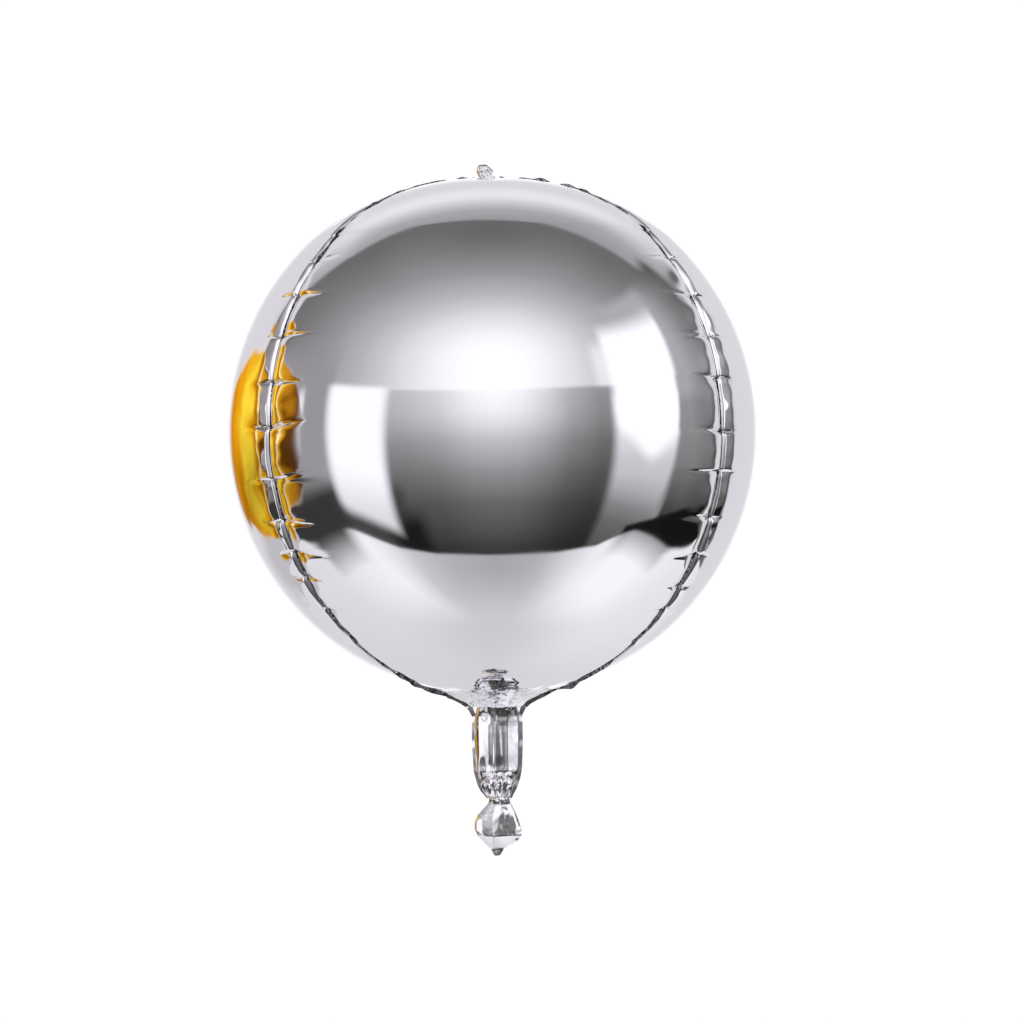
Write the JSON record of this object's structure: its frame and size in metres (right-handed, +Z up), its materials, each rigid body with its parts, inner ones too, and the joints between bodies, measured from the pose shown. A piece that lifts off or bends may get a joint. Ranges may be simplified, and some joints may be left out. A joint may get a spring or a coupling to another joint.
{
  "type": "foil ball balloon",
  "caption": "Inflated mirror-silver film ball of welded gores, with a hanging tab on its crown and a cinched filling neck with a flared end below.",
  "frame": {"origin": "centre of the inflated ball, where the air holds it up", "axes": "+Z up through the crown and its tab, -Y towards the front gore, +X to the right seen from the front"},
  "size_m": [0.3999, 0.4, 0.5252],
  "materials": {
    "mirror_film": "mirror-silver metallised film, taut and glossy",
    "welded_film": "heat-welded margin of metallised film, slightly dulled",
    "crumpled_film": "crumpled metallised film, glossy facets"
  },
  "bodies": {
    "root": {"front_gore": "mirror_film", "right_gore": "mirror_film", "back_gore": "mirror_film", "left_gore": "mirror_film", "seam_front_right": "welded_film", "seam_back_right": "welded_film", "seam_back_left": "welded_film", "seam_front_left": "welded_film", "crown_gather": "crumpled_film", "hanging_tab": "crumpled_film", "neck_bell_front": "mirror_film", "neck_bell_back": "mirror_film", "neck_front": "crumpled_film", "neck_back": "crumpled_film", "neck_seam_right": "welded_film", "neck_seam_left": "welded_film", "neck_cinch": "crumpled_film", "tail_front": "crumpled_film", "tail_back": "crumpled_film"}
  },
  "joints": []
}
